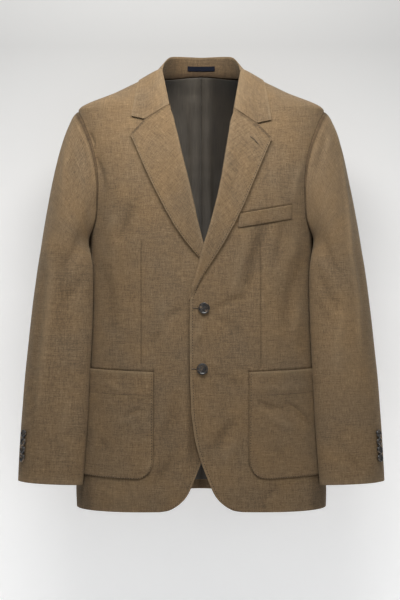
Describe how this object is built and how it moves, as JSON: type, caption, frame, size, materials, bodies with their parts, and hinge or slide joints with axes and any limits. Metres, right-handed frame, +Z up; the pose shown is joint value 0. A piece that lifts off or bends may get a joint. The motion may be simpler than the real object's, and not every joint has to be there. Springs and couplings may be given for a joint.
{
  "type": "jacket",
  "caption": "Single-breasted linen jacket with notch lapels, patch pockets, breast welt and buttoned cuffs, filled out as worn with an empty inside.",
  "frame": {"origin": "midway between the points where the shoulder seams meet the neck, level with them", "axes": "+X to the jacket's own left, -Y to its front, +Z up from hem to collar"},
  "size_m": [0.648, 0.2393, 0.8151],
  "materials": {
    "linen": "matte two-tone brown linen weave with slubs",
    "lining": "smooth dark grey-brown twill",
    "label": "woven navy satin, bare",
    "button": "semi-gloss dark horn"
  },
  "bodies": {
    "root": {"back_left": "linen", "back_right": "linen", "front_left": "linen", "front_right": "linen", "lapel_left": "linen", "lapel_right": "linen", "collar": "linen", "sleeve_left": "linen", "sleeve_right": "linen", "pocket_left": "linen", "pocket_right": "linen", "chest_welt": "linen", "lining_left": "lining", "lining_right": "lining", "label": "label", "button_front_upper": "button", "button_front_lower": "button", "button_cuff_left_1": "button", "button_cuff_left_2": "button", "button_cuff_left_3": "button", "button_cuff_left_4": "button", "button_cuff_right_1": "button", "button_cuff_right_2": "button", "button_cuff_right_3": "button", "button_cuff_right_4": "button"}
  },
  "joints": []
}
